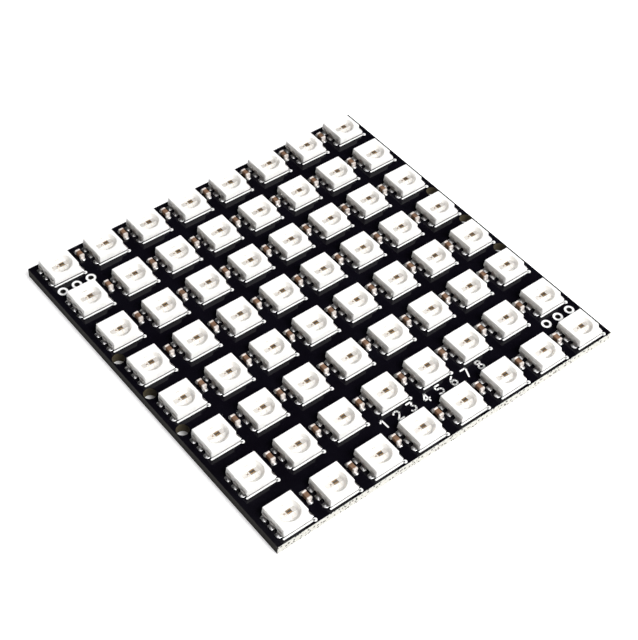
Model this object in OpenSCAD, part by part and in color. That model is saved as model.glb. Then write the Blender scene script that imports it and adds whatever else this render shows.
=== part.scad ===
// Eight by eight matrix of addressable colour LEDs on a printed circuit board.
// X runs along a row of LEDs, Y across the rows and Z up; the origin is the middle of the board's underside.
// Each LED is a moulded package: a white housing with a round reflector cup, six bent leads whose inner
// ends lie in the floor of the cup, a driver chip, three emitter chips and a clear filling.

/* [Matrix] */
// Number of rows of LEDs
rows = 8; // [4:1:8]
// Number of LEDs in each row
columns = 8; // [3:1:8]
// Distance between the centres of neighbouring LEDs
pitch = 8.2; // [7.8:0.1:12]

/* [Circuit board] */
// From the first and last LED centres of a row to the board's edge
side_margin = 4; // [3.6:0.1:6]
// From the LED centres of the first and last row to the board's edge
end_margin = 3.15; // [2.8:0.05:6]
// Thickness of the board
board_thickness = 1.6; // [0.8:0.1:2.4]

/* [Edge holes] */
// Diameter of the holes along the two sides
edge_hole_d = 2; // [1.2:0.1:2.4]
// Board left between each edge hole and the side
edge_hole_web = 0.2; // [0.1:0.05:0.6]
// Number of edge holes along each side, one in each gap between rows
edge_hole_count = 3; // [1:2:3]

/* [Terminals] */
// Number of plated holes in the input and in the output terminal
terminal_count = 3; // [2:1:3]
// Distance between the plated holes
terminal_pitch = 2.54; // [2:0.01:3]
// Clear diameter of a plated hole
terminal_hole_d = 0.9; // [0.7:0.05:1.1]
// Diameter of the plated ring round the hole
terminal_ring_d = 1.65; // [1.5:0.05:1.9]
// Thickness of the plating in the hole
plating = 0.1; // [0.05:0.01:0.15]
// Thickness of the ring, which lies flush with the board
terminal_ring_thickness = 0.05; // [0.03:0.01:0.1]
// How far the middle of a terminal lies inside the outer LED centres
terminal_inset = 0.4; // [0:0.1:1]

/* [LED housing] */
// Width and length of the housing where its two halves meet
housing_size = 5; // [4.8:0.05:5.3]
// How far each wall of the upper half leans in
housing_draft = 0.05; // [0.01:0.01:0.1]
// Height of the housing's top face over the board
housing_height = 1.6; // [1.4:0.01:2]
// Size of the cut-off corner that marks pin one, in the upper half
corner_cut = 0.95; // [0.3:0.05:1.1]
// Diameter of the reflector cup at its mouth
cup_mouth_d = 3.8; // [3.2:0.1:4]
// Diameter of the reflector cup at its floor
cup_floor_d = 2.9; // [2.6:0.1:3.1]
// Height of the cup's floor over the board
cup_floor_height = 0.8; // [0.7:0.05:0.9]
// How far the clear filling stays below the mouth of the cup
filling_drop = 0.04; // [0.01:0.01:0.1]

/* [LED leads] */
// Thickness of the lead frame's metal
lead_thickness = 0.2; // [0.12:0.01:0.25]
// Width of a lead outside the housing
lead_width = 0.9; // [0.6:0.05:1.1]
// Distance between neighbouring leads
lead_pitch = 1.65; // [1.5:0.05:1.7]
// Length of the foot that each lead turns under the housing
lead_foot = 0.7; // [0.5:0.05:0.9]
// Gap between the inner ends of opposite leads, in the floor of the cup
inner_gap = 0.1; // [0.06:0.01:0.14]
// Place of that gap along X, from the middle of the LED
inner_gap_x = -0.24; // [-0.28:0.01:-0.2]

/* [LED chips] */
// Length of the driver chip, along X
driver_length = 0.8; // [0.6:0.05:0.85]
// Width of the driver chip, along Y
driver_width = 0.65; // [0.5:0.05:0.8]
// Thickness of the driver chip
driver_thickness = 0.15; // [0.1:0.01:0.2]
// Distance from the gap between the leads to the driver chip
driver_clearance = 0.07; // [0.03:0.01:0.1]
// Width and length of an emitter chip
emitter_size = 0.22; // [0.18:0.01:0.26]
// Thickness of an emitter chip
emitter_thickness = 0.1; // [0.08:0.01:0.15]
// Distance between the emitter chips, along Y
emitter_pitch = 0.32; // [0.3:0.01:0.34]
// Distance from the gap between the leads to the emitter chips
emitter_clearance = 0.12; // [0.04:0.01:0.2]

/* [Capacitors] */
// Length of a capacitor, along Y
capacitor_length = 1.6; // [1.4:0.1:2]
// Width of a capacitor
capacitor_width = 0.8; // [0.5:0.05:0.9]
// Height of a capacitor
capacitor_height = 0.8; // [0.5:0.05:1]
// Length of the metal cap at each end
capacitor_cap_length = 0.35; // [0.2:0.05:0.5]
// Thickness of the metal cap's walls
capacitor_cap_wall = 0.04; // [0.03:0.01:0.06]
// How far a capacitor sits towards +Y from the middle of its row
capacitor_offset = 0.87; // [0.5:0.01:1.2]

/* [Solder] */
// Thickness of the solder under a lead or a capacitor
solder_film = 0.05; // [0.03:0.01:0.06]
// How far the solder reaches past the metal that it holds, and climbs up it
solder_toe = 0.4; // [0.3:0.05:0.5]
// How much wider than the metal the solder is, on each side
solder_side = 0.05; // [0.02:0.01:0.1]

/* [Hidden] */
KINDS = ["housings", "fillings", "leads", "driver_chips", "emitter_chips", "capacitors", "solder_joints"];

$fn = 64;
CUT = 1;

board_length = (columns - 1) * pitch + 2 * side_margin;
board_width = (rows - 1) * pitch + 2 * end_margin;
edge_hole_x = board_length / 2 - edge_hole_web - edge_hole_d / 2;
terminal_x = (columns - 1) * pitch / 2 - terminal_inset;

housing_bottom = solder_film + lead_thickness;
lead_reach = housing_size / 2 + lead_thickness;
driver_x = inner_gap_x + inner_gap / 2 + driver_clearance + driver_length / 2;
emitter_x = inner_gap_x - inner_gap / 2 - emitter_clearance - emitter_size / 2;

function row_node(r, kind) = str("row_", r, "_", kind);
function row_y(r) = ((rows + 1) / 2 - r) * pitch;
function column_x(c) = (c - (columns + 1) / 2) * pitch;
function gap_y(r) = row_y(r + 0.5);

// ---- Circuit board and its plated holes ----

module edge_holes() {
    first = floor(rows / 2) - (edge_hole_count - 1) / 2;
    for (side = [-1, 1], i = [0:edge_hole_count - 1])
        translate([side * edge_hole_x, gap_y(first + i), -CUT])
            cylinder(d = edge_hole_d, h = board_thickness + 2 * CUT);
}

// Places its children at the plated holes of the input (side -1, first gap) or the output (side 1, last gap)
module at_terminal(side) {
    y = side < 0 ? gap_y(1) : gap_y(rows - 1);
    for (i = [0:terminal_count - 1])
        translate([side * terminal_x + (i - (terminal_count - 1) / 2) * terminal_pitch, y, 0])
            children();
}

// A plated hole's metal before it is bored: a barrel with a flush ring at each face of the board
module terminal_blank() {
    cylinder(d = terminal_hole_d + 2 * plating, h = board_thickness);
    cylinder(d = terminal_ring_d, h = terminal_ring_thickness);
    translate([0, 0, board_thickness - terminal_ring_thickness])
        cylinder(d = terminal_ring_d, h = terminal_ring_thickness);
}

module terminal(side) {
    color("silver")
        at_terminal(side)
            difference() {
                terminal_blank();
                translate([0, 0, -CUT]) cylinder(d = terminal_hole_d, h = board_thickness + 2 * CUT);
            }
}

module printed_circuit_board() {
    color([0.05, 0.05, 0.06])
        difference() {
            translate([-board_length / 2, -board_width / 2, 0])
                cube([board_length, board_width, board_thickness]);
            edge_holes();
            at_terminal(-1) terminal_blank();
            at_terminal(1) terminal_blank();
        }
}

// ---- One LED, round its own middle, with the board's top face at Z = 0 ----

// Turns a section drawn in X and Z into a solid of the given width along Y
module along_y(width) {
    translate([0, width / 2, 0]) rotate([90, 0, 0]) linear_extrude(height = width) children();
}

// Places its children at one side's three leads, turned so that they face outwards
module at_leads(side) {
    for (i = [-1:1])
        translate([0, i * lead_pitch, 0]) mirror([side > 0 ? 0 : 1, 0, 0]) children();
}

// The outer quarter of a lead's bend, round the corner that the metal folds over
module bend(corner, turn) {
    translate(corner)
        intersection() {
            circle(r = lead_thickness);
            rotate(turn) square(lead_thickness);
        }
}

// Section of a lead: out through the wall from its inner end, down the side face and in under the housing
module lead_section(inner_end) {
    wall_x = housing_size / 2;
    fold_top = cup_floor_height - lead_thickness;
    translate([inner_end, fold_top]) square([wall_x - inner_end, lead_thickness]);
    bend([wall_x, fold_top], 0);
    translate([wall_x, housing_bottom]) square([lead_thickness, fold_top - housing_bottom]);
    bend([wall_x, housing_bottom], -90);
    translate([lead_reach - lead_foot, solder_film]) square([lead_foot - lead_thickness, lead_thickness]);
}

// The gap between the inner ends of opposite leads is off the middle, so each side has its own length
module leads() {
    for (side = [-1, 1])
        at_leads(side) along_y(lead_width) lead_section(side * inner_gap_x + inner_gap / 2);
}

module housing_outline() {
    half = housing_size / 2;
    polygon([
        [-half, -half], [half - corner_cut, -half], [half, -half + corner_cut], [half, half], [-half, half]
    ]);
}

module housing() {
    difference() {
        union() {
            translate([-housing_size / 2, -housing_size / 2, housing_bottom])
                cube([housing_size, housing_size, cup_floor_height - housing_bottom]);
            translate([0, 0, cup_floor_height])
                linear_extrude(
                    height = housing_height - cup_floor_height,
                    scale = 1 - 2 * housing_draft / housing_size
                )
                    housing_outline();
        }
        cup(housing_height - cup_floor_height);
        leads();
    }
}

// The reflector cup's space, up to the given depth from its floor
module cup(depth) {
    slope = (cup_mouth_d - cup_floor_d) / 2 / (housing_height - cup_floor_height);
    translate([0, 0, cup_floor_height])
        cylinder(r1 = cup_floor_d / 2, r2 = cup_floor_d / 2 + slope * depth, h = depth);
}

module driver_chip() {
    translate([driver_x - driver_length / 2, -driver_width / 2, cup_floor_height])
        cube([driver_length, driver_width, driver_thickness]);
}

module emitter_chips() {
    for (i = [-1:1])
        translate([emitter_x - emitter_size / 2, i * emitter_pitch - emitter_size / 2, cup_floor_height])
            cube([emitter_size, emitter_size, emitter_thickness]);
}

// The clear filling, cast round the chips
module filling() {
    difference() {
        cup(housing_height - cup_floor_height - filling_drop);
        driver_chip();
        emitter_chips();
    }
}

// ---- One capacitor, with its long side along Y and the board's top face at Z = 0 ----

module capacitor_body() {
    translate([
        -capacitor_width / 2 + capacitor_cap_wall,
        -capacitor_length / 2 + capacitor_cap_wall,
        solder_film + capacitor_cap_wall
    ])
        cube([
            capacitor_width - 2 * capacitor_cap_wall,
            capacitor_length - 2 * capacitor_cap_wall,
            capacitor_height - 2 * capacitor_cap_wall
        ]);
}

// The two metal caps, each a cup pushed over one end of the body
module capacitor_end_caps() {
    difference() {
        for (end = [0, 1])
            mirror([0, end, 0])
                translate([-capacitor_width / 2, capacitor_length / 2 - capacitor_cap_length, solder_film])
                    cube([capacitor_width, capacitor_cap_length, capacitor_height]);
        capacitor_body();
    }
}

// ---- Solder ----

// Solder past an upright metal face at X = face: a film that starts at X = from, and a hollow fillet up the
// face. Under a lead the fillet starts at X = back, where the bend leaves a corner for the solder to fill.
module solder_section(from, face, back) {
    difference() {
        union() {
            translate([from, 0]) square([face + solder_toe - from, solder_film]);
            translate([back, solder_film]) square([face + solder_toe - back, solder_toe]);
        }
        translate([face + solder_toe, solder_film + solder_toe]) circle(r = solder_toe);
        if (back < face) {
            translate([back, solder_film + lead_thickness]) circle(r = lead_thickness);
            translate([back, solder_film + lead_thickness]) square([face - back, solder_toe]);
        }
    }
}

module led_solder_joints() {
    for (side = [-1, 1])
        at_leads(side)
            along_y(lead_width + 2 * solder_side)
                solder_section(lead_reach - lead_foot, lead_reach, housing_size / 2);
}

module capacitor_solder_joints() {
    end = capacitor_length / 2;
    for (turn = [90, -90])
        rotate([0, 0, turn])
            along_y(capacitor_width + 2 * solder_side)
                solder_section(end - capacitor_cap_length, end, end);
}

// ---- Rows ----

module each_led(r) {
    for (c = [1:columns]) translate([column_x(c), row_y(r), board_thickness]) children();
}

// A capacitor stands in each gap between neighbouring LEDs of a row
module each_capacitor(r) {
    for (c = [1:columns - 1])
        translate([column_x(c + 0.5), row_y(r) + capacitor_offset, board_thickness]) children();
}

module row_housings(r) {
    color("white") each_led(r) housing();
}

module row_fillings(r) {
    color([0.98, 0.97, 0.9, 0.4]) each_led(r) filling();
}

module row_leads(r) {
    color("silver") each_led(r) leads();
}

module row_driver_chips(r) {
    color([0.3, 0.24, 0.18]) each_led(r) driver_chip();
}

module row_emitter_chips(r) {
    color([0.75, 0.65, 0.4]) each_led(r) emitter_chips();
}

module row_capacitors(r) {
    color([0.45, 0.33, 0.25]) each_capacitor(r) capacitor_body();
}

module row_solder_joints(r) {
    color([0.8, 0.8, 0.82]) {
        each_led(r) led_solder_joints();
        each_capacitor(r) capacitor_solder_joints();
    }
}

module capacitor_caps() {
    color([0.85, 0.83, 0.8])
        for (r = [1:rows]) each_capacitor(r) capacitor_end_caps();
}

printed_circuit_board();
terminal(-1);  // input_terminal
terminal(1);  // output_terminal
capacitor_caps();
for (r = [1:rows]) {
    row_housings(r);
    row_fillings(r);
    row_leads(r);
    row_driver_chips(r);
    row_emitter_chips(r);
    row_capacitors(r);
    row_solder_joints(r);
}
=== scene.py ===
"""Looks of an eight by eight matrix of addressable LEDs on a black circuit board.

Shapes are worked out in millimetres as whole numpy arrays and become metres when a mesh is made.
A shape is a tuple: its points, its four-sided faces and its three-sided faces.
"""

import math

import bpy
import numpy as np
from mathutils import Matrix, Vector


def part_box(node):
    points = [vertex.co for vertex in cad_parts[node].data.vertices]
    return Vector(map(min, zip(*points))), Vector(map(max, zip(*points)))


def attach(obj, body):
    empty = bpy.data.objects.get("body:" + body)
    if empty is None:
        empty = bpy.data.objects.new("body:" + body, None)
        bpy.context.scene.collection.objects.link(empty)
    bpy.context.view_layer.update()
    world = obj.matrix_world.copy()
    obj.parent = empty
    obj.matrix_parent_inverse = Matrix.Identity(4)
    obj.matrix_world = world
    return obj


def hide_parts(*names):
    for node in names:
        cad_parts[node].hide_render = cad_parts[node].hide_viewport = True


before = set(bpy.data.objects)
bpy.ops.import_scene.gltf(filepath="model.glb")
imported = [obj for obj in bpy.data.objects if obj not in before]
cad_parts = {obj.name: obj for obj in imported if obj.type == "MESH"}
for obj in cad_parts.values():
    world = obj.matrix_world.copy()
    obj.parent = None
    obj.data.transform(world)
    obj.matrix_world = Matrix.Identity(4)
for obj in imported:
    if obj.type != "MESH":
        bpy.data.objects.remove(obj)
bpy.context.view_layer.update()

MM = 0.001
TAU = 2 * math.pi
ROWS = 8
COLUMNS = 8


# ---- Sizes read from the frame, in millimetres ----

def box_mm(node):
    low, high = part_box(node)
    return np.array(low) / MM, np.array(high) / MM


BOARD_HIGH = box_mm("printed_circuit_board")[1]
BOARD_TOP = BOARD_HIGH[2]

HOUSING_LOW, HOUSING_HIGH = box_mm("row_1_housings")
HOUSING_SIZE = HOUSING_HIGH[1] - HOUSING_LOW[1]
HOUSING_BOTTOM = HOUSING_LOW[2] - BOARD_TOP
HOUSING_TOP = HOUSING_HIGH[2] - BOARD_TOP
PITCH = (HOUSING_HIGH[0] - HOUSING_LOW[0] - HOUSING_SIZE) / (COLUMNS - 1)

LEADS_LOW, LEADS_HIGH = box_mm("row_1_leads")
LEAD_REACH = (LEADS_HIGH[0] - LEADS_LOW[0] - (COLUMNS - 1) * PITCH) / 2
LEAD_THICKNESS = LEAD_REACH - HOUSING_SIZE / 2
CUP_FLOOR = LEADS_HIGH[2] - BOARD_TOP
SOLDER_FILM = LEADS_LOW[2] - BOARD_TOP

FILLING_TOP = box_mm("row_1_fillings")[1][2] - BOARD_TOP
MOUTH_RADIUS = 1.9
FLOOR_RADIUS = 1.45

DRIVER_LOW, DRIVER_HIGH = box_mm("row_1_driver_chips")
EMITTERS_LOW, EMITTERS_HIGH = box_mm("row_1_emitter_chips")
CAPACITORS_LOW, CAPACITORS_HIGH = box_mm("row_1_capacitors")

LEAD_WIDTH = 0.9
LEAD_PITCH = 1.65
LEAD_FOOT = 0.7
CORNER_CUT = 0.95
CAPACITOR_LENGTH = 1.6
CAPACITOR_WIDTH = 0.8
CAPACITOR_HEIGHT = 0.8
CAP_LENGTH = 0.35
SOLDER_TOE = 0.4
SOLDER_SIDE = 0.05
INNER_GAP_X = -0.24
INNER_GAP = 0.1


def led_places(row):
    """The middles of a row's LEDs, on the board's top face."""
    x = (np.arange(COLUMNS) - (COLUMNS - 1) / 2) * PITCH
    y = ((ROWS + 1) / 2 - row) * PITCH
    return np.column_stack([x, np.full(COLUMNS, y), np.full(COLUMNS, BOARD_TOP)])


CAPACITOR_OFFSET = (CAPACITORS_LOW[1] + CAPACITORS_HIGH[1]) / 2 - led_places(1)[0, 1]


def capacitor_places(row):
    """The middles of a row's capacitors, halfway between neighbouring LEDs."""
    leds = led_places(row)
    return (leds[:-1] + leds[1:]) / 2 + [0, CAPACITOR_OFFSET, 0]


def middle_in_led(low, high):
    """The middle of a chip, measured from the middle of its LED, from the box of a whole row of them."""
    return np.array([(low[0] + high[0]) / 2, (low[1] + high[1]) / 2 - led_places(1)[0, 1]])


# ---- Shapes ----

def skin(rings, caps=(True, True)):
    """A closed tube through rings of points: face (i, j) joins ring i to ring i + 1 and point j to point j + 1,
    and each capped end is a fan to the mean of its ring."""
    rings = np.asarray(rings, float)
    count, around = rings.shape[:2]
    i, j = np.meshgrid(np.arange(count - 1), np.arange(around), indexing="ij")
    k = (j + 1) % around
    quads = np.stack([i * around + j, i * around + k, (i + 1) * around + k, (i + 1) * around + j], -1).reshape(-1, 4)
    points, tris = [rings.reshape(-1, 3)], []
    a = np.arange(around)
    b = (a + 1) % around
    for end, capped in enumerate(caps):
        if capped:
            ring = 0 if end == 0 else count - 1
            hub = np.full(around, sum(len(p) for p in points))
            points.append(rings[ring].mean(0)[None])
            rim = (b, a) if end == 0 else (a, b)
            fan = [ring * around + rim[0], ring * around + rim[1], hub]
            tris.append(np.stack(fan, -1))
    tris = np.concatenate(tris) if tris else np.zeros((0, 3), int)
    return outward((np.concatenate(points), quads, tris))


def outward(shape):
    """Turns a closed shape's faces over if the volume they enclose, the sum of a . (b x c) / 6, is negative."""
    points, quads, tris = shape
    every = np.concatenate([tris, quads[:, :3], quads[:, [0, 2, 3]]])
    a, b, c = (points[every[:, n]] for n in range(3))
    if (a * np.cross(b, c)).sum() < 0:
        quads, tris = quads[:, ::-1], tris[:, ::-1]
    return points, quads, tris


def join(*shapes):
    """One shape out of several."""
    starts = np.cumsum([0] + [len(s[0]) for s in shapes[:-1]])
    return tuple(np.concatenate([s[n] + (start if n else 0) for s, start in zip(shapes, starts)]) for n in range(3))


def repeat(shape, places):
    """A copy of a shape at each place: its points plus the place."""
    points, quads, tris = shape
    places = np.asarray(places, float).reshape(-1, 3)
    starts = (np.arange(len(places)) * len(points))[:, None, None]
    return (
        (points[None] + places[:, None]).reshape(-1, 3),
        (quads[None] + starts).reshape(-1, 4),
        (tris[None] + starts).reshape(-1, 3),
    )


def turned(shape, angle):
    """A shape turned about Z by an angle in radians."""
    c, s = math.cos(angle), math.sin(angle)
    points, quads, tris = shape
    return points @ np.array([[c, s, 0], [-s, c, 0], [0, 0, 1]]), quads, tris


def circle(radius, count, start=0.0):
    """Points at equal angles round the origin, x = r cos t and y = r sin t."""
    t = start + np.arange(count) * TAU / count
    return np.column_stack([radius * np.cos(t), radius * np.sin(t)])


def at_height(outline, z):
    return np.column_stack([outline, np.full(len(outline), z)])


def make_piece(name, shape, material, smooth=35, replaced=()):
    """Puts a shape into a mesh in metres, whose edges sharper than `smooth` degrees stay sharp."""
    points, quads, tris = shape
    mesh = bpy.data.meshes.new(name)
    mesh.vertices.add(len(points))
    mesh.vertices.foreach_set("co", (points * MM).astype(np.float32).ravel())
    corners = np.concatenate([quads.ravel(), tris.ravel()])
    mesh.loops.add(len(corners))
    mesh.loops.foreach_set("vertex_index", corners.astype(np.int32))
    mesh.polygons.add(len(quads) + len(tris))
    starts = np.concatenate([np.arange(len(quads)) * 4, len(quads) * 4 + np.arange(len(tris)) * 3])
    mesh.polygons.foreach_set("loop_start", starts.astype(np.int32))
    mesh.update(calc_edges=True)
    mesh.validate()
    mesh.shade_smooth()
    mesh.set_sharp_from_angle(angle=math.radians(smooth))
    mesh.materials.append(material)
    piece = bpy.data.objects.new(name, mesh)
    bpy.context.scene.collection.objects.link(piece)
    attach(piece, "root")
    if replaced:
        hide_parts(*replaced)
    return piece


# ---- The LED's moulded housing ----

def square_outline(half, radius, cut=None):
    """A square with rounded corners: seven points along each side and three more on each corner's arc.
    With a cut, points past the line x - y = 2 half - cut are drawn in to it, towards the middle."""
    along = half - CORNER_CUT
    side = np.array([-(half - radius), -along, -along / 2, 0, along / 2, along, half - radius])
    right = np.column_stack([np.full(7, half), side])
    arc = np.radians([22.5, 45, 67.5])
    corner = half - radius + radius * np.column_stack([np.cos(arc), np.sin(arc)])
    quarter = np.concatenate([right, corner])
    outline = np.concatenate([quarter @ np.array([[c, s], [-s, c]]) for c, s in ((1, 0), (0, 1), (-1, 0), (0, -1))])
    if cut is not None:
        reach = outline[:, 0] - outline[:, 1]
        outline = outline * np.minimum(1, (2 * half - cut) / np.maximum(reach, 1e-6))[:, None]
    return outline


def housing_shape():
    """Rings up the outside, over the rounded top edge, in across the top face, over the cup's lip and down the
    cup's cone to its floor. The corner is cut only above the parting line at the height of the cup's floor."""
    half = HOUSING_SIZE / 2
    bevel, waist, lean, corner = 0.05, 0.012, 0.05, 0.1
    outside = [
        (half - bevel, HOUSING_BOTTOM, None),
        (half, HOUSING_BOTTOM + bevel, None),
        (half, CUP_FLOOR - waist, None),
        (half - waist, CUP_FLOOR, None),
        (half - 2 * waist, CUP_FLOOR + waist, CORNER_CUT),
        (half - lean, HOUSING_TOP - 0.09, CORNER_CUT),
        (half - lean - 0.02, HOUSING_TOP - 0.035, CORNER_CUT + 0.01),
        (half - lean - 0.07, HOUSING_TOP, CORNER_CUT + 0.03),
    ]
    rings = [at_height(square_outline(size, corner, cut), z) for size, z, cut in outside]
    around = len(rings[0])
    start = -math.radians(45) + TAU / around * 0.5
    inside = [
        (MOUTH_RADIUS + 0.05, HOUSING_TOP),
        (MOUTH_RADIUS + 0.012, HOUSING_TOP - 0.014),
        (MOUTH_RADIUS - 0.01, HOUSING_TOP - 0.06),
        (FLOOR_RADIUS + 0.04, CUP_FLOOR + 0.06),
        (FLOOR_RADIUS - 0.03, CUP_FLOOR - 0.004),
    ]
    rings += [at_height(circle(radius, around, start), z) for radius, z in inside]
    return skin(rings)


def filling_shape():
    """A clear lens: its top is a shallow dish, z = top - dip (1 - (r / R)^2), that climbs the cup's wall a little,
    and its side and underside lie just inside the plastic."""
    around, sunk, dip = 40, 0.02, 0.05
    rings = [at_height(circle(FLOOR_RADIUS, around), CUP_FLOOR - sunk)]
    rings.append(at_height(circle(MOUTH_RADIUS + sunk - 0.02, around), FILLING_TOP - 0.01))
    for share in (0.99, 0.93, 0.8, 0.6, 0.4, 0.2):
        rings.append(at_height(circle(MOUTH_RADIUS * share, around), FILLING_TOP - dip * (1 - share ** 4)))
    return skin(rings)


# ---- Leads, chips and bond wires ----

def lead_path(inner_end):
    """Middle line of a lead in X and Z, as (x, z, direction): out of the floor, a quarter turn down the side and a
    quarter turn in under the housing."""
    half = LEAD_THICKNESS / 2
    wall = HOUSING_SIZE / 2
    path = [(inner_end, CUP_FLOOR - half, 0), (wall, CUP_FLOOR - half, 0)]
    low = HOUSING_BOTTOM
    for turn in (-30, -60, -90):
        a = math.radians(turn)
        path.append((wall - half * math.sin(a), CUP_FLOOR - LEAD_THICKNESS + half * math.cos(a), a))
    for turn in (-90, -120, -150, -180):
        a = math.radians(turn)
        path.append((wall - half * math.sin(a), low + half * math.cos(a), a))
    path.append((LEAD_REACH - LEAD_FOOT, low - half, -math.pi))
    return path


def lead_shape(inner_end):
    """A flat strip carried along its path: a rectangle with four broken corners."""
    t, w, soft = LEAD_THICKNESS / 2, LEAD_WIDTH / 2, 0.035
    section = np.array([
        (-t + soft, -w), (t - soft, -w), (t, -w + soft), (t, w - soft),
        (t - soft, w), (-t + soft, w), (-t, w - soft), (-t, -w + soft),
    ])
    rings = []
    for x, z, a in lead_path(inner_end):
        normal = np.array([-math.sin(a), 0, math.cos(a)])
        rings.append(np.array([x, 0, z]) + section[:, :1] * normal + section[:, 1:] * np.array([0, 1, 0]))
    return skin(rings)


def leads_shape():
    """Six leads: three on each side, whose inner ends stop on either side of the gap in the cup's floor."""
    right = lead_shape(INNER_GAP_X + INNER_GAP / 2)
    left = turned(lead_shape(-INNER_GAP_X + INNER_GAP / 2), math.pi)
    places = [(0, i * LEAD_PITCH, 0) for i in (-1, 0, 1)]
    return join(repeat(right, places), repeat(left, places))


def slab(length, width, low, high, bevel):
    """A flat block with broken top edges: three rectangles, the last drawn in by the bevel."""
    def rectangle(inset, z):
        x, y = length / 2 - inset, width / 2 - inset
        return np.array([(-x, -y, z), (x, -y, z), (x, y, z), (-x, y, z)])
    return skin([rectangle(0, low), rectangle(0, high - bevel), rectangle(bevel, high)])


DRIVER_X, DRIVER_Y = middle_in_led(DRIVER_LOW, DRIVER_HIGH)
EMITTER_X, _ = middle_in_led(EMITTERS_LOW, EMITTERS_HIGH)
DRIVER_TOP = DRIVER_HIGH[2] - BOARD_TOP
EMITTER_TOP = EMITTERS_HIGH[2] - BOARD_TOP
DRIVER_LENGTH = DRIVER_HIGH[0] - DRIVER_LOW[0] - (COLUMNS - 1) * PITCH
DRIVER_WIDTH = DRIVER_HIGH[1] - DRIVER_LOW[1]
EMITTER_SIZE = EMITTERS_HIGH[0] - EMITTERS_LOW[0] - (COLUMNS - 1) * PITCH
EMITTER_YS = (-0.32, 0.0, 0.32)


def driver_shape():
    return repeat(slab(DRIVER_LENGTH, DRIVER_WIDTH, CUP_FLOOR, DRIVER_TOP, 0.02), [(DRIVER_X, DRIVER_Y, 0)])


def emitters_shape(ys):
    chip = slab(EMITTER_SIZE, EMITTER_SIZE, CUP_FLOOR, EMITTER_TOP, 0.015)
    return repeat(chip, [(EMITTER_X, y, 0) for y in ys])


BOND_PAD_SIZE = 0.09
BOND_PAD_TOP = DRIVER_TOP + 0.006
BOND_PAD_XS = DRIVER_X + (np.arange(4) - 1.5) * 0.19
BOND_PAD_Y = DRIVER_WIDTH / 2 - 0.09


def pads_shape():
    """Bond pads: four along each long edge of the driver chip."""
    pad = slab(BOND_PAD_SIZE, BOND_PAD_SIZE, DRIVER_TOP - 0.005, BOND_PAD_TOP, 0.004)
    return repeat(pad, [(x, side * BOND_PAD_Y, 0) for side in (-1, 1) for x in BOND_PAD_XS])


def tube(path, radius, sides=4):
    """A round wire along a path of points: each ring lies across the mean direction of its two stretches."""
    path = np.asarray(path, float)
    along = np.gradient(path, axis=0)
    along /= np.linalg.norm(along, axis=1)[:, None]
    across = np.cross(along, [0.0, 0.0, 1.0])
    across /= np.maximum(np.linalg.norm(across, axis=1), 1e-9)[:, None]
    upright = np.cross(across, along)
    t = np.arange(sides) * TAU / sides
    ring = np.cos(t)[None, :, None] * across[:, None] + np.sin(t)[None, :, None] * upright[:, None]
    return skin(path[:, None] + radius * ring)


WIRE_RADIUS = 0.011


def wire(start, end, rise):
    """A bond wire: a straight line in plan, with z raised by rise * 4 s (1 - s) ^ 1.6 along its length s."""
    s = np.linspace(0, 1, 7)[:, None]
    start, end = np.array(start, float), np.array(end, float)
    path = start + (end - start) * s
    path[:, 2] += rise * (4 * s * (1 - s) ** 1.6)[:, 0]
    return tube(path, WIRE_RADIUS)


def wires_shape():
    """Gold wires from the driver's pads to the leads at its sides, and to the three emitter chips."""
    lead_rise, chip_rise, cross_rise = 0.16, 0.12, 0.14
    wires = []
    for side in (1, -1):
        for pad, x, y in ((3, 0.85, 1.0), (2, 0.1, 1.15)):
            pad_end = (BOND_PAD_XS[pad], side * BOND_PAD_Y, BOND_PAD_TOP)
            wires.append(wire(pad_end, (x, side * y, CUP_FLOOR), lead_rise))
    for y, pad_y in zip(EMITTER_YS, (-BOND_PAD_Y, 0.0, BOND_PAD_Y)):
        wires.append(wire((EMITTER_X, y, EMITTER_TOP), (BOND_PAD_XS[0] - 0.03, pad_y, BOND_PAD_TOP), chip_rise))
    for side in (1, -1):
        emitter_end = (EMITTER_X, side * EMITTER_YS[2], EMITTER_TOP)
        wires.append(wire(emitter_end, (-0.75, side * 1.05, CUP_FLOOR), cross_rise))
    return join(*wires)


# ---- Solder ----

def blob(outline, apex, swell, climb):
    """Solder on a flat footprint: a point lies a share s of the way from the apex to the outline, at
    z = swell (1 - s^2)^0.5 + climb (1 - s)^2. The first part is a round cushion and the second a hollow cone."""
    apex = np.array(apex, float)
    rings = []
    for share in (1.0, 0.97, 0.9, 0.78, 0.6, 0.4, 0.2):
        height = swell * math.sqrt(1 - share ** 2) + climb * (1 - share) ** 2
        rings.append(at_height(apex + (outline - apex) * share, height))
    return skin(rings)


def pad_outline(start, reach, half_width, soft, count=4):
    """A pad along +X: square where it starts, and with outer corners rounded to the radius `soft`."""
    arc = np.linspace(0, math.pi / 2, count)
    corner = np.column_stack([reach - soft + soft * np.cos(arc), half_width - soft + soft * np.sin(arc)])
    middle = (start + reach - soft) / 2
    upper = np.concatenate([corner, [(middle, half_width), (start, half_width)]])
    return np.concatenate([upper, upper[::-1] * [1, -1]])


LEAD_PAD_START = 2.05
LEAD_PAD_SOFT = 0.2


def lead_joint(swell, climb, extra=0.0, soft=LEAD_PAD_SOFT):
    """The cushion of solder at a lead's toe, hollow where it climbs the metal."""
    reach, half_width = LEAD_REACH + SOLDER_TOE + extra, LEAD_WIDTH / 2 + SOLDER_SIDE
    return blob(pad_outline(LEAD_PAD_START, reach, half_width, soft), (LEAD_REACH, 0.0), swell, climb)


def capacitor_joint():
    """The drop of solder at a capacitor's end, along +X."""
    end = CAPACITOR_LENGTH / 2
    outline = pad_outline(end - 0.2, end + 0.5, CAPACITOR_WIDTH / 2 + 0.03, 0.3, 6)
    return blob(outline, (end + 0.32, 0.0), 0.2, 0.0)


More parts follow.
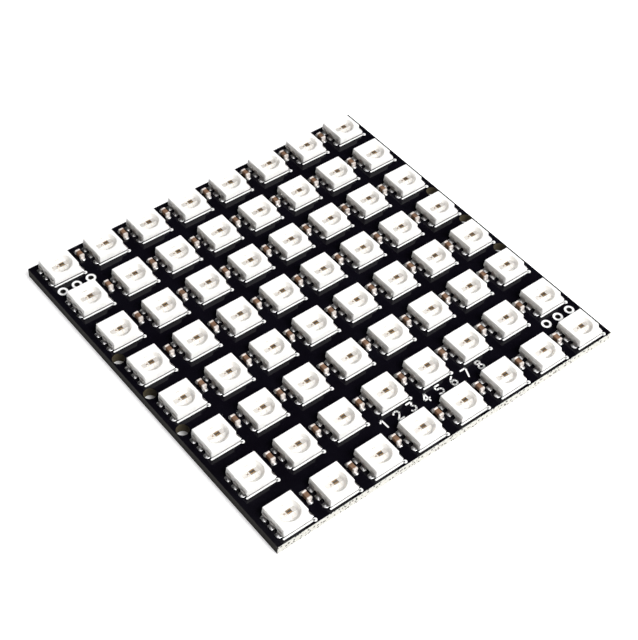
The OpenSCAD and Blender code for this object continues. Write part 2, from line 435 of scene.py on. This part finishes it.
def row_solder(row):
    """A row's solder. On the -X side of each LED it is lower, and its third pad is longer and rounder."""
    high, low, long = lead_joint(0.09, 0.34), lead_joint(0.07, 0.1), lead_joint(0.07, 0.1, 0.1, 0.42)
    steps = [(0, i * LEAD_PITCH, 0) for i in (-1, 0, 1)]
    left = join(repeat(turned(low, math.pi), steps[1:]), repeat(turned(long, math.pi), steps[:1]))
    led = join(left, repeat(high, steps))
    end = capacitor_joint()
    ends = join(turned(end, math.pi / 2), turned(end, -math.pi / 2))
    return join(repeat(led, led_places(row)), repeat(ends, capacitor_places(row)))


# ---- Capacitors ----

def rounded_bar(length, width, height, low, radius):
    """A bar along Y: a rectangle with rounded corners, drawn in by the radius at both ends."""
    def ring(y, inset):
        x, z, r = width / 2 - inset, height / 2 - inset, radius
        arc = np.radians([0, 45, 90])
        corner = np.column_stack([np.cos(arc), np.sin(arc)]) * r + [x - r, z - r]
        quarters = np.concatenate([
            corner, corner[::-1] * [-1, 1], corner * [-1, -1], corner[::-1] * [1, -1],
        ])
        return np.column_stack([quarters[:, 0], np.full(12, y), quarters[:, 1] + low + height / 2])
    end = length / 2
    soft = radius * 0.9
    return skin([
        ring(-end, soft), ring(-end + 0.3 * soft, 0.3 * soft), ring(-end + soft, 0),
        ring(end - soft, 0), ring(end - 0.3 * soft, 0.3 * soft), ring(end, soft),
    ])


def capacitor_body():
    inset = 0.035
    return rounded_bar(CAPACITOR_LENGTH - 0.1, CAPACITOR_WIDTH - 2 * inset, CAPACITOR_HEIGHT - 2 * inset,
                       SOLDER_FILM + inset, 0.06)


def capacitor_caps():
    """Two metal caps, each a short rounded bar that the ceramic body runs into."""
    cap = rounded_bar(CAP_LENGTH, CAPACITOR_WIDTH, CAPACITOR_HEIGHT, SOLDER_FILM, 0.07)
    middle = (CAPACITOR_LENGTH - CAP_LENGTH) / 2
    return repeat(cap, [(0, middle, 0), (0, -middle, 0)])


# ---- Printing and copper on the board ----

def ribbon(start, end, width, low, high):
    """A flat stroke with round ends, from one point to another."""
    start, end = np.array(start, float), np.array(end, float)
    along = end - start
    angle = math.atan2(along[1], along[0])
    half_turn = np.linspace(-math.pi / 2, math.pi / 2, 6)
    tip = np.column_stack([np.cos(half_turn), np.sin(half_turn)]) * width / 2
    tip = tip @ np.array([[math.cos(angle), math.sin(angle)], [-math.sin(angle), math.cos(angle)]])
    outline = np.concatenate([end + tip, start - tip])
    return skin([at_height(outline, low), at_height(outline, high)])


def stroke(points, width, low, high):
    """A line of flat strokes through the points, joined by their round ends."""
    return join(*[ribbon(a, b, width, low, high) for a, b in zip(points[:-1], points[1:])])


PRINT_LOW, PRINT_HIGH = -0.01, 0.02


def pin_one_mark():
    """A printed line beside an LED's -Y edge, which ends in a dot at the cut corner."""
    line_y, line_width, dot_radius = -2.58, 0.28, 0.32
    line = ribbon((-2.55, line_y), (2.75, line_y), line_width, PRINT_LOW, PRINT_HIGH)
    dot = skin([at_height(circle(dot_radius, 16), z) for z in (PRINT_LOW, PRINT_HIGH)])
    return join(line, repeat(dot, [(2.83, line_y - 0.05, 0)]))


DIGITS = {
    "1": [[(0.15, 0.75), (0.45, 1.0), (0.45, 0.0)]],
    "2": [[(0.05, 0.8), (0.2, 0.97), (0.5, 1.0), (0.68, 0.8), (0.6, 0.55), (0.05, 0.0), (0.7, 0.0)]],
    "3": [[(0.05, 1.0), (0.68, 1.0), (0.35, 0.6), (0.62, 0.5), (0.7, 0.25), (0.5, 0.02), (0.2, 0.0), (0.04, 0.14)]],
    "4": [[(0.55, 0.0), (0.55, 1.0), (0.04, 0.32), (0.75, 0.32)]],
    "5": [[(0.65, 1.0), (0.12, 1.0), (0.08, 0.58), (0.45, 0.62), (0.7, 0.42), (0.65, 0.12), (0.4, 0.0), (0.06, 0.08)]],
    "6": [[(0.6, 1.0), (0.2, 0.7), (0.06, 0.3), (0.22, 0.03), (0.5, 0.0), (0.7, 0.2), (0.62, 0.5), (0.35, 0.58),
           (0.1, 0.4)]],
    "7": [[(0.04, 1.0), (0.7, 1.0), (0.28, 0.0)]],
    "8": [[(0.38, 0.55), (0.1, 0.72), (0.12, 0.93), (0.38, 1.0), (0.62, 0.93), (0.64, 0.72), (0.38, 0.55),
           (0.06, 0.3), (0.12, 0.05), (0.38, 0.0), (0.64, 0.05), (0.7, 0.3), (0.38, 0.55)]],
}


def printed_numbers():
    """The numbers 1 to 8 in a line, drawn with strokes of equal width."""
    height, spacing, width = 1.55, 2.72, 0.26
    first = (-8.1, -25.25)
    shapes = []
    for n, digit in enumerate("12345678"):
        for line in DIGITS[digit]:
            points = np.array(line) * height + [first[0] + n * spacing, first[1]]
            shapes.append(stroke(points, width, PRINT_LOW, PRINT_HIGH))
    return repeat(join(*shapes), [(0, 0, BOARD_TOP)])


# ---- Finishes ----

def add_socket(group, name, direction, kind, default=None):
    socket = group.interface.new_socket(name=name, in_out=direction, socket_type=kind)
    if default is not None:
        socket.default_value = default
    return socket


def new_group(name, inputs, outputs):
    """A shader node group with named sockets. Returns it with its input and output nodes."""
    group = bpy.data.node_groups.new(name, "ShaderNodeTree")
    for socket_name, kind, default in inputs:
        add_socket(group, socket_name, "INPUT", kind, default)
    for socket_name, kind in outputs:
        add_socket(group, socket_name, "OUTPUT", kind)
    return group, group.nodes.new("NodeGroupInput"), group.nodes.new("NodeGroupOutput")


def noise(tree, vector, scale, detail=2.0, roughness=0.5):
    node = tree.nodes.new("ShaderNodeTexNoise")
    node.inputs["Detail"].default_value = detail
    node.inputs["Roughness"].default_value = roughness
    tree.links.new(vector, node.inputs["Vector"])
    if isinstance(scale, (int, float)):
        node.inputs["Scale"].default_value = scale
    else:
        tree.links.new(scale, node.inputs["Scale"])
    return node.outputs["Fac"]


def ramp(tree, value, low, high):
    """0 below low, 1 above high and straight between."""
    node = tree.nodes.new("ShaderNodeMapRange")
    tree.links.new(value, node.inputs["Value"])
    node.inputs["From Min"].default_value = low
    node.inputs["From Max"].default_value = high
    return node.outputs["Result"]


def mix_colour(tree, factor, first, second):
    node = tree.nodes.new("ShaderNodeMix")
    node.data_type = "RGBA"
    for socket, value in ((node.inputs[0], factor), (node.inputs[6], first), (node.inputs[7], second)):
        if isinstance(value, bpy.types.NodeSocket):
            tree.links.new(value, socket)
        else:
            socket.default_value = value
    return node.outputs[2]


def calculate(tree, operation, first, second=0.0):
    node = tree.nodes.new("ShaderNodeMath")
    node.operation = operation
    for socket, value in zip(node.inputs, (first, second)):
        if isinstance(value, bpy.types.NodeSocket):
            tree.links.new(value, socket)
        else:
            socket.default_value = value
    return node.outputs[0]


def mottle_group():
    """Cloudy change of tone: a soft noise, and a finer one for the roughness, both from Object coordinates."""
    group, start, end = new_group(
        "cloudy_tone",
        [("Tone", "NodeSocketColor", (0.8, 0.8, 0.8, 1)), ("Deep Tone", "NodeSocketColor", (0.6, 0.6, 0.6, 1)),
         ("Scale", "NodeSocketFloat", 900.0), ("Dull", "NodeSocketFloat", 0.5), ("Shiny", "NodeSocketFloat", 0.3)],
        [("Color", "NodeSocketColor"), ("Roughness", "NodeSocketFloat")],
    )
    place = group.nodes.new("ShaderNodeTexCoord").outputs["Object"]
    cloud = ramp(group, noise(group, place, start.outputs["Scale"], 3.0), 0.35, 0.65)
    group.links.new(mix_colour(group, cloud, start.outputs["Tone"], start.outputs["Deep Tone"]), end.inputs["Color"])
    fine = noise(group, place, calculate(group, "MULTIPLY", start.outputs["Scale"], 4.0), 2.0)
    spread = calculate(group, "SUBTRACT", start.outputs["Dull"], start.outputs["Shiny"])
    rough = calculate(group, "ADD", start.outputs["Shiny"], calculate(group, "MULTIPLY", fine, spread))
    group.links.new(rough, end.inputs["Roughness"])
    return group


def grain_group():
    """Fine grain: the surface normal shaken by a noise of a few hundredths of a millimetre."""
    group, start, end = new_group(
        "fine_grain",
        [("Scale", "NodeSocketFloat", 9000.0), ("Height", "NodeSocketFloat", 0.2)],
        [("Normal", "NodeSocketVector")],
    )
    place = group.nodes.new("ShaderNodeTexCoord").outputs["Object"]
    bump = group.nodes.new("ShaderNodeBump")
    bump.inputs["Distance"].default_value = 0.01 * MM
    group.links.new(start.outputs["Height"], bump.inputs["Strength"])
    group.links.new(noise(group, place, start.outputs["Scale"], 3.0), bump.inputs["Height"])
    group.links.new(bump.outputs["Normal"], end.inputs["Normal"])
    return group


def speck_group():
    """Specks: a mask that is 1 inside scattered round cells, each within Size of its cell's middle."""
    group, start, end = new_group(
        "specks",
        [("Scale", "NodeSocketFloat", 3000.0), ("Size", "NodeSocketFloat", 0.15)],
        [("Mask", "NodeSocketFloat")],
    )
    place = group.nodes.new("ShaderNodeTexCoord").outputs["Object"]
    cells = group.nodes.new("ShaderNodeTexVoronoi")
    group.links.new(place, cells.inputs["Vector"])
    group.links.new(start.outputs["Scale"], cells.inputs["Scale"])
    inside = calculate(group, "LESS_THAN", cells.outputs["Distance"], start.outputs["Size"])
    group.links.new(inside, end.inputs["Mask"])
    return group


def place_group(material, group, **values):
    node = material.node_tree.nodes.new("ShaderNodeGroup")
    node.node_tree = group
    for name, value in values.items():
        node.inputs[name.replace("_", " ")].default_value = value
    return node


def grey(value, warm=0.0):
    return (value * (1 + warm), value, value * (1 - warm), 1)


def face_mask(tree):
    """1 on faces that look up or down, and 0 on upright ones."""
    normal = tree.nodes.new("ShaderNodeSeparateXYZ")
    tree.links.new(tree.nodes.new("ShaderNodeNewGeometry").outputs["True Normal"], normal.inputs[0])
    return calculate(tree, "GREATER_THAN", calculate(tree, "ABSOLUTE", normal.outputs["Z"]), 0.5)


class Finishes:
    """Materials by name, all built on the three shared groups."""

    def __init__(self):
        self.mottle = mottle_group()
        self.grain = grain_group()
        self.specks = speck_group()

    def plain(self, name, tone, deep, scale=900.0, dull=0.5, shiny=0.3, grain=0.2, grain_scale=9000.0, metallic=0.0):
        """A Principled material with a cloudy tone, an uneven roughness and a fine grain."""
        material = bpy.data.materials.new(name)
        material.use_nodes = True
        tree = material.node_tree
        shader = tree.nodes["Principled BSDF"]
        cloud = place_group(material, self.mottle, Tone=tone, Deep_Tone=deep, Scale=scale, Dull=dull, Shiny=shiny)
        tree.links.new(cloud.outputs["Color"], shader.inputs["Base Color"])
        tree.links.new(cloud.outputs["Roughness"], shader.inputs["Roughness"])
        bumps = place_group(material, self.grain, Scale=grain_scale, Height=grain)
        tree.links.new(bumps.outputs["Normal"], shader.inputs["Normal"])
        shader.inputs["Metallic"].default_value = metallic
        material.diffuse_color = tone
        return material

    def board(self):
        """Glossy black solder mask on the two faces. The long +Y and -Y sides are pale glass-epoxy
        with fibres and specks, the +X and -X sides are the same glass-epoxy painted near black as shade, and the holes'
        walls are olive brown."""
        material = self.plain("board_mask", (0.0022, 0.0018, 0.0034, 1), (0.0032, 0.0028, 0.005, 1), 260.0, 0.12,
                              0.06, 0.03, 2500.0)
        tree = material.node_tree
        shader = tree.nodes["Principled BSDF"]
        coordinates = tree.nodes.new("ShaderNodeTexCoord")
        face = face_mask(tree)
        apart = tree.nodes.new("ShaderNodeSeparateXYZ")
        tree.links.new(coordinates.outputs["Object"], apart.inputs[0])
        # One mask for the +Y and -Y sides, and one for the +X and -X sides, where painted shade goes
        y_sides, painted_shade_x_sides = (
            calculate(tree, "GREATER_THAN", calculate(tree, "ABSOLUTE", apart.outputs[axis]), (reach - 0.02) * MM)
            for axis, reach in (("Y", BOARD_HIGH[1]), ("X", BOARD_HIGH[0]))
        )
        layers = tree.nodes.new("ShaderNodeMapping")
        layers.inputs["Scale"].default_value = (1, 1, 6)
        tree.links.new(coordinates.outputs["Object"], layers.inputs["Vector"])
        fibres = ramp(tree, noise(tree, layers.outputs["Vector"], 2200.0, 4.0, 0.6), 0.35, 0.65)
        pale = mix_colour(tree, fibres, (0.72, 0.71, 0.67, 1), (0.42, 0.41, 0.37, 1))
        specks = place_group(material, self.specks, Scale=1800.0, Size=0.3)
        pale = mix_colour(tree, specks.outputs["Mask"], pale, (0.05, 0.047, 0.042, 1))
        # Painted shade: the +X and -X sides get a near-black brown, the pale glass-epoxy coloured as it looks in shadow
        painted_shade_edge = mix_colour(tree, fibres, (0.003, 0.0025, 0.002, 1), (0.014, 0.011, 0.008, 1))
        olive = mix_colour(tree, fibres, (0.045, 0.037, 0.021, 1), (0.08, 0.066, 0.04, 1))
        edge = mix_colour(tree, y_sides, mix_colour(tree, painted_shade_x_sides, olive, painted_shade_edge), pale)
        mask_colour = shader.inputs["Base Color"].links[0].from_socket
        tree.links.new(mix_colour(tree, face, edge, mask_colour), shader.inputs["Base Color"])
        mask_rough = shader.inputs["Roughness"].links[0].from_socket
        rough = calculate(tree, "ADD", calculate(tree, "MULTIPLY", face, mask_rough),
                          calculate(tree, "MULTIPLY", calculate(tree, "SUBTRACT", 1.0, face), 0.7))
        tree.links.new(rough, shader.inputs["Roughness"])
        shader.inputs["Specular IOR Level"].default_value = 0.13
        return material

    def moulding(self):
        """White plastic that lets light in a little way and out again, which softens its shadows."""
        material = self.plain("white_moulding", (0.9, 0.886, 0.862, 1), (0.88, 0.864, 0.838, 1), 500.0, 0.62, 0.42,
                              0.12)
        shader = material.node_tree.nodes["Principled BSDF"]
        shader.inputs["Subsurface Weight"].default_value = 0.6
        shader.inputs["Subsurface Radius"].default_value = (1, 1, 1)
        shader.inputs["Subsurface Scale"].default_value = 0.9 * MM
        return material

    def plating(self):
        """Bright tin on the terminals' rings; the upright walls down the holes are the same tin painted near black as
        shade.
        """
        material = self.plain("terminal_tin", grey(0.9), grey(0.8), 1400.0, 0.55, 0.4, 0.3, 3500.0, 0.2)
        tree = material.node_tree
        shader = tree.nodes["Principled BSDF"]
        face = face_mask(tree)
        bright = shader.inputs["Base Color"].links[0].from_socket
        # Painted shade: upright faces, the walls down the holes, are coloured near black for the shadow inside them
        tree.links.new(mix_colour(tree, face, (0.02, 0.018, 0.015, 1), bright), shader.inputs["Base Color"])
        return material

    def resin(self):
        """Clear resin: bends what is seen through it, and lets lamps and soft light straight through."""
        material = bpy.data.materials.new("clear_resin")
        material.use_nodes = True
        tree = material.node_tree
        shader = tree.nodes["Principled BSDF"]
        shader.inputs["IOR"].default_value = 1.41
        shader.inputs["Transmission Weight"].default_value = 1.0
        shader.inputs["Roughness"].default_value = 0.0
        haze = place_group(material, self.mottle, Tone=(1.0, 0.99, 0.97, 1), Deep_Tone=(0.99, 0.975, 0.95, 1),
                           Scale=700.0)
        tree.links.new(haze.outputs["Color"], shader.inputs["Base Color"])
        ripple = place_group(material, self.grain, Scale=900.0, Height=0.04)
        tree.links.new(ripple.outputs["Normal"], shader.inputs["Normal"])
        clear = tree.nodes.new("ShaderNodeBsdfTransparent")
        path = tree.nodes.new("ShaderNodeLightPath")
        soft = calculate(tree, "MAXIMUM", path.outputs["Is Shadow Ray"], path.outputs["Is Diffuse Ray"])
        mix = tree.nodes.new("ShaderNodeMixShader")
        tree.links.new(soft, mix.inputs["Fac"])
        tree.links.new(shader.outputs["BSDF"], mix.inputs[1])
        tree.links.new(clear.outputs["BSDF"], mix.inputs[2])
        tree.links.new(mix.outputs["Shader"], tree.nodes["Material Output"].inputs["Surface"])
        return material


finishes = Finishes()
BOARD = finishes.board()
HOUSING = finishes.moulding()
RESIN = finishes.resin()
SILVER = finishes.plain("lead_silver", grey(0.62, 0.04), grey(0.5, 0.05), 1500.0, 0.42, 0.25, 0.2, 6000.0, 1.0)
GOLD = finishes.plain("bond_gold", (0.9, 0.6, 0.22, 1), (0.75, 0.46, 0.14, 1), 3000.0, 0.3, 0.15, 0.05, 9000.0, 1.0)
TIN = finishes.plain("cap_tin", (0.84, 0.78, 0.74, 1), (0.66, 0.59, 0.54, 1), 1600.0, 0.5, 0.35, 0.3, 7000.0, 0.4)
SOLDER = finishes.plain("solder", grey(0.6), grey(0.45), 1400.0, 0.36, 0.2, 0.25, 3500.0, 1.0)
PLATING = finishes.plating()
CERAMIC = finishes.plain("capacitor_ceramic", (0.2, 0.11, 0.06, 1), (0.13, 0.07, 0.04, 1), 1500.0, 0.55, 0.35, 0.2)
SILICON = finishes.plain("driver_silicon", (0.055, 0.036, 0.025, 1), (0.03, 0.022, 0.017, 1), 5000.0, 0.35, 0.15, 0.1)
CRYSTAL = finishes.plain("emitter_crystal", (0.9, 0.885, 0.85, 1), (0.84, 0.82, 0.77, 1), 6000.0, 0.3, 0.15, 0.1)
RED_CRYSTAL = finishes.plain("red_emitter_crystal", (0.22, 0.17, 0.13, 1), (0.3, 0.24, 0.18, 1), 6000.0, 0.3, 0.15,
                             0.1)
PRINT = finishes.plain("white_print", (0.85, 0.85, 0.84, 1), (0.74, 0.74, 0.73, 1), 1200.0, 0.7, 0.5, 0.4, 5000.0)


# ---- Pieces ----

def make_leds():
    housing, filling, leads = housing_shape(), filling_shape(), leads_shape()
    driver, pads, wires = driver_shape(), pads_shape(), wires_shape()
    pale, dark = emitters_shape(EMITTER_YS[::2]), emitters_shape(EMITTER_YS[1:2])
    body, caps = capacitor_body(), capacitor_caps()
    for row in range(1, ROWS + 1):
        leds, capacitors = led_places(row), capacitor_places(row)

        def piece(kind, shape, material, slot, smooth=35, node=None):
            make_piece(f"row_{row}_{kind}", shape, material, smooth, (f"row_{row}_{node}",) if node else ())

        piece("moulded_housings", repeat(housing, leds), HOUSING, "housing_plastic", 25, "housings")
        piece("clear_fillings", repeat(filling, leds), RESIN, "clear_filling", 60, "fillings")
        piece("bent_leads", repeat(leads, leds), SILVER, "lead_metal", 40, "leads")
        piece("driver_dies", repeat(driver, leds), SILICON, "driver_silicon", 30, "driver_chips")
        piece("clear_emitter_dies", repeat(pale, leds), CRYSTAL, "emitter_crystal", 30, "emitter_chips")
        piece("red_emitter_dies", repeat(dark, leds), RED_CRYSTAL, "emitter_crystal", 30)
        piece("bond_pads", repeat(pads, leds), GOLD, "lead_metal", 30)
        piece("bond_wires", repeat(wires, leds), GOLD, "lead_metal", 60)
        piece("ceramic_bodies", repeat(body, capacitors), CERAMIC, "capacitor_ceramic", 35, "capacitors")
        piece("solder_fillets", row_solder(row), SOLDER, "solder", 50, "solder_joints")
        piece("pin_one_marks", repeat(pin_one_mark(), leds), PRINT, "board", 30)
    every = np.concatenate([capacitor_places(row) for row in range(1, ROWS + 1)])
    make_piece("tin_end_caps", repeat(caps, every), TIN, 35, ("capacitor_caps",))
    make_piece("printed_numbers", printed_numbers(), PRINT, 30)


def dress_nodes():
    for name, material in (("printed_circuit_board", BOARD), ("input_terminal", PLATING), ("output_terminal", PLATING)):
        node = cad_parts[name]
        node.data.materials.clear()
        node.data.materials.append(material)
        for slot in node.material_slots:
            slot.material = material


# ---- Floor, light and camera ----

def add_floor():
    """A pale floor with a soft shadow. Its faint glow fills the background to white, and stops at the board's edge,
    so that the floor seen through a hole is only as light as what falls on it there."""
    mesh = bpy.data.meshes.new("floor")
    reach, glow_strength, glow_fade = 3.0, 0.45, 0.5
    corners = [(-reach, -reach, 0), (reach, -reach, 0), (reach, reach, 0), (-reach, reach, 0)]
    mesh.from_pydata(corners, [], [(0, 1, 2, 3)])
    floor = bpy.data.objects.new("floor", mesh)
    bpy.context.scene.collection.objects.link(floor)
    material = bpy.data.materials.new("floor")
    material.use_nodes = True
    tree = material.node_tree
    shader = tree.nodes["Principled BSDF"]
    shader.inputs["Base Color"].default_value = (0.8, 0.8, 0.8, 1)
    shader.inputs["Roughness"].default_value = 1.0
    shader.inputs["Specular IOR Level"].default_value = 0.0
    path = tree.nodes.new("ShaderNodeLightPath")
    seen = calculate(tree, "MAXIMUM", path.outputs["Is Camera Ray"],
                     calculate(tree, "MAXIMUM", path.outputs["Is Glossy Ray"], path.outputs["Is Transmission Ray"]))
    apart = tree.nodes.new("ShaderNodeSeparateXYZ")
    tree.links.new(tree.nodes.new("ShaderNodeTexCoord").outputs["Object"], apart.inputs[0])
    clear_x, clear_y = (
        ramp(tree, calculate(tree, "ABSOLUTE", apart.outputs[axis]), (edge - glow_fade) * MM, edge * MM)
        for axis, edge in (("X", BOARD_HIGH[0]), ("Y", BOARD_HIGH[1]))
    )
    glow = calculate(tree, "MULTIPLY", seen, calculate(tree, "MAXIMUM", clear_x, clear_y))
    shader.inputs["Emission Color"].default_value = (1, 1, 1, 1)
    tree.links.new(calculate(tree, "MULTIPLY", glow, glow_strength), shader.inputs["Emission Strength"])
    mesh.materials.append(material)


def add_world():
    """Even soft light, with a grey horizon and a dark ceiling for what mirrors it."""
    world = bpy.data.worlds.new("studio")
    bpy.context.scene.world = world
    world.use_nodes = True
    tree = world.node_tree
    background = tree.nodes["Background"]
    path = tree.nodes.new("ShaderNodeLightPath")
    place = tree.nodes.new("ShaderNodeTexCoord")
    direction = tree.nodes.new("ShaderNodeSeparateXYZ")
    tree.links.new(place.outputs["Generated"], direction.inputs[0])
    horizon, ceiling, soft = 0.45, 0.01, 0.16
    height = ramp(tree, direction.outputs["Z"], 0.12, 0.3)
    mirrored = calculate(tree, "SUBTRACT", horizon, calculate(tree, "MULTIPLY", height, horizon - ceiling))
    glossy = path.outputs["Is Glossy Ray"]
    plain = calculate(tree, "SUBTRACT", 1.0, glossy)
    strength = calculate(tree, "ADD", calculate(tree, "MULTIPLY", glossy, mirrored),
                         calculate(tree, "MULTIPLY", plain, soft))
    seen = calculate(tree, "MAXIMUM", path.outputs["Is Camera Ray"], path.outputs["Is Transmission Ray"])
    strength = calculate(tree, "MAXIMUM", strength, seen)
    tree.links.new(strength, background.inputs["Strength"])
    background.inputs["Color"].default_value = (1, 1, 1, 1)


def add_lamp(name, direction, distance, size, power, colour=(1, 1, 1)):
    """A square soft lamp that faces the middle of the board from a direction."""
    lamp = bpy.data.lights.new(name, "AREA")
    lamp.size = size
    lamp.energy = power
    lamp.color = colour
    thing = bpy.data.objects.new(name, lamp)
    direction = Vector(direction).normalized()
    thing.location = direction * distance
    thing.rotation_euler = direction.to_track_quat("Z", "Y").to_euler()
    bpy.context.scene.collection.objects.link(thing)
    return thing


def add_camera():
    """Looks down on the board's -X, -Y corner, a little rolled."""
    camera = bpy.data.cameras.new("camera")
    camera.lens = 79.02
    camera.shift_x, camera.shift_y = 0.02859, -0.01568
    camera.clip_start, camera.clip_end = 0.01, 20.0
    thing = bpy.data.objects.new("camera", camera)
    place = Vector((-0.10111, -0.10921, 0.16176))
    view = Vector((0.45008, 0.50317, -0.73773))
    roll = math.radians(4.42)
    turn = view.to_track_quat("-Z", "Y").to_matrix().to_4x4() @ Matrix.Rotation(roll, 4, "Z")
    thing.matrix_world = Matrix.Translation(place) @ turn
    bpy.context.scene.collection.objects.link(thing)
    bpy.context.scene.camera = thing


make_leds()
dress_nodes()
add_floor()
add_world()
add_lamp("key_lamp", (0.25, -0.62, 0.74), 0.7, 0.45, 7.9)
add_lamp("fill_lamp", (0.15, 0.1, 0.98), 0.9, 0.6, 1.9)
add_camera()
bpy.context.scene.view_settings.view_transform = "Standard"
